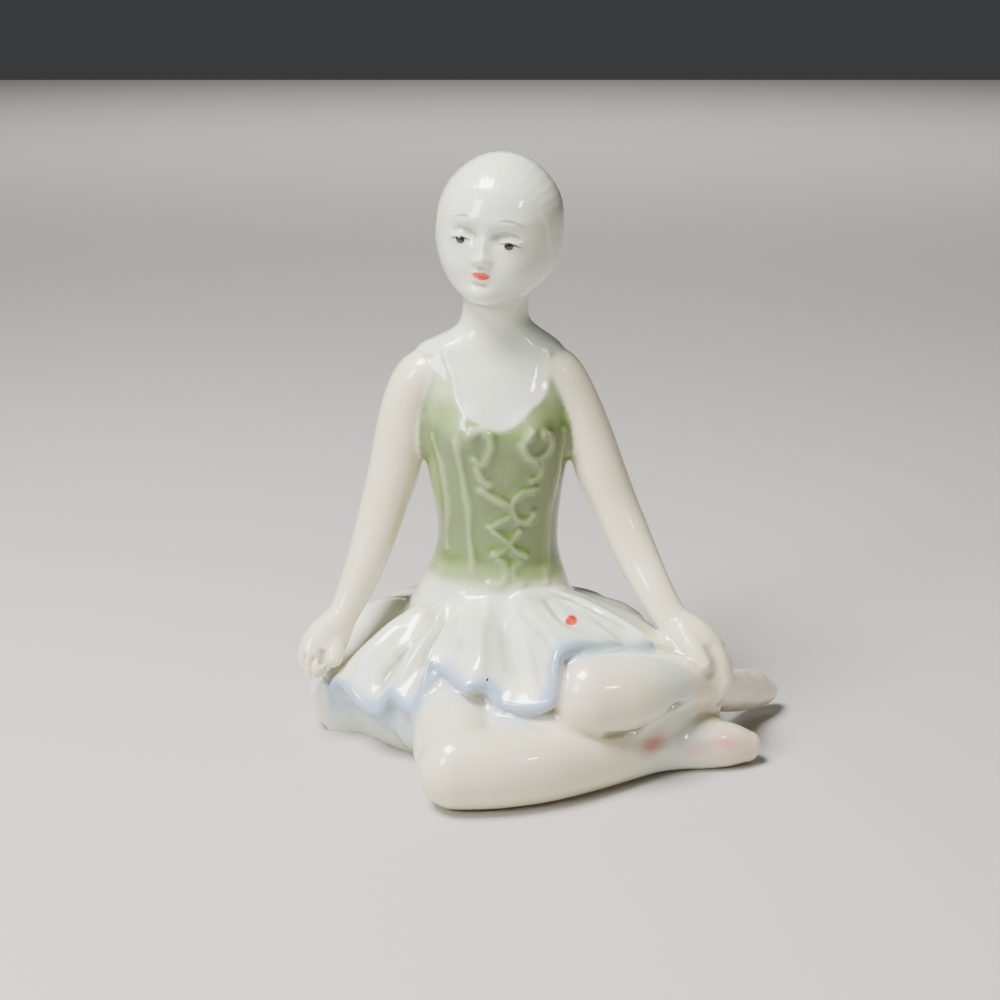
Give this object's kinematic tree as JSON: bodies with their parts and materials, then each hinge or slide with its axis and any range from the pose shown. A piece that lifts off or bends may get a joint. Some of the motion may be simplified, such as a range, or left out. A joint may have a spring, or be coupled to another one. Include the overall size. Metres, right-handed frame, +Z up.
{
  "type": "seated ballerina figurine",
  "caption": "Seated dancer figurine in glazed porcelain: legs folded to one side, arms straight down with hands on skirt and ankle, short skirt with a waved hem.",
  "frame": {"origin": "middle of the bounding box's base, on the surface it stands on", "axes": "+Z up through the head; she faces -Y; her folded legs point towards +X, her left"},
  "size_m": [0.1022, 0.0736, 0.12],
  "materials": {
    "glazed_porcelain": "glossy clear glaze over soft underglaze colours"
  },
  "bodies": {
    "root": {"figurine": "glazed_porcelain"}
  },
  "joints": []
}
